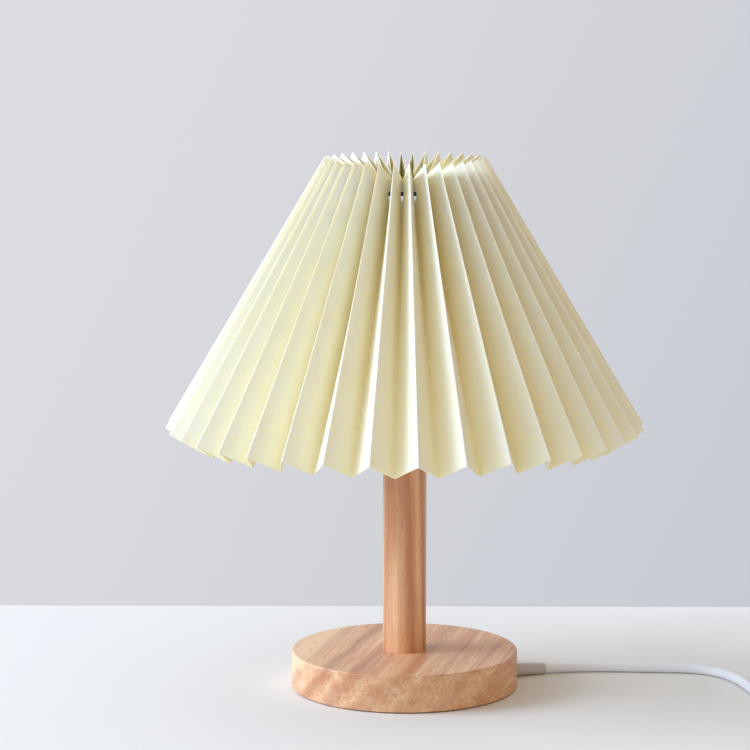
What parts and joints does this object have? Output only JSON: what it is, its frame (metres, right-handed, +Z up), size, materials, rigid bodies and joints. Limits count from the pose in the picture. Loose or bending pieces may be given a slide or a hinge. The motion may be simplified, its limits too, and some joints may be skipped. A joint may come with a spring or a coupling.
{
  "type": "table lamp",
  "caption": "Table lamp with a wooden disc base and stem, a conical pleated paper shade hung on a wire frame, and a white cord with an in-line switch.",
  "frame": {"origin": "centre of the underside, on the surface that the lamp stands on, on the axis of stem and shade", "axes": "+Z up along the stem, -Y the front, +X to the right, where the cord leaves"},
  "size_m": [0.4033, 0.252, 0.2823],
  "materials": {
    "wood": "fine sanded, clear matt oil",
    "paper": "matt pleated paper with a faint laid texture",
    "cord_pvc": "soft satin PVC",
    "white_plastic": "moulded, satin",
    "black_plastic": "moulded",
    "grey_rubber": "moulded, matt",
    "black_wire": "powder coated",
    "zinc_steel": "zinc plated",
    "nickel": "nickel plated",
    "brass": "plain",
    "ceramic": "unglazed steatite",
    "opal": "opal diffuser",
    "board": "white solder mask on aluminium",
    "lead_brown": "PVC insulation",
    "lead_blue": "PVC insulation",
    "tie": "flat paper-covered wire tie",
    "pad": "thin foam rubber"
  },
  "bodies": {
    "lamp_base": {"base_disc": "wood", "base_pad": "pad", "stem": "wood", "threaded_tube": "zinc_steel", "base_washer": "zinc_steel", "base_nut": "zinc_steel", "stem_washer": "zinc_steel", "stem_nut": "zinc_steel", "cord_clamp": "white_plastic", "clamp_screws": "zinc_steel", "strain_relief": "grey_rubber", "inner_cord": "cord_pvc", "live_lead": "lead_brown", "neutral_lead": "lead_blue", "holder_cap": "white_plastic", "holder_shell": "white_plastic", "terminal_block": "ceramic", "terminal_screws": "brass", "centre_contact": "brass", "side_contact": "brass", "switch_lower_housing": "white_plastic", "switch_upper_housing": "white_plastic", "switch_contacts": "brass", "switch_screws": "zinc_steel", "mains_cord": "cord_pvc", "cord_tail": "cord_pvc", "cord_coil": "cord_pvc", "coil_tie": "tie", "plug_lead": "cord_pvc", "plug_body": "white_plastic", "plug_pins": "nickel", "plug_pin_sleeves": "black_plastic"},
    "shade": {"fitter_plate": "black_wire", "frame_legs": "black_wire", "top_ring": "black_wire", "pleated_shade": "paper"},
    "ring_nut": {"shade_ring": "white_plastic"},
    "bulb": {"bulb_foot_contact": "brass", "bulb_foot_insulator": "black_plastic", "bulb_screw_cap": "nickel", "bulb_housing": "white_plastic", "led_board": "board", "bulb_globe": "opal"},
    "rocker": {"switch_rocker": "white_plastic"}
  },
  "joints": [
    {"name": "shade_turn", "type": "hinge", "parent": "lamp_base", "child": "shade", "pos_m": [0, 0, 0.193], "axis": [0, 0, 1], "continuous": true},
    {"name": "ring_off", "type": "slide", "parent": "lamp_base", "child": "ring_nut", "axis": [0, 0, 1], "range_m": [0, 0.021]},
    {"name": "bulb_out", "type": "slide", "parent": "lamp_base", "child": "bulb", "axis": [0, 0, 1], "range_m": [0, 0.027]},
    {"name": "switch_rock", "type": "hinge", "parent": "lamp_base", "child": "rocker", "pos_m": [0.265, -0.006, 0.011], "axis": [-0.9994, 0.0349, 0], "range_deg": [0, 14]}
  ]
}
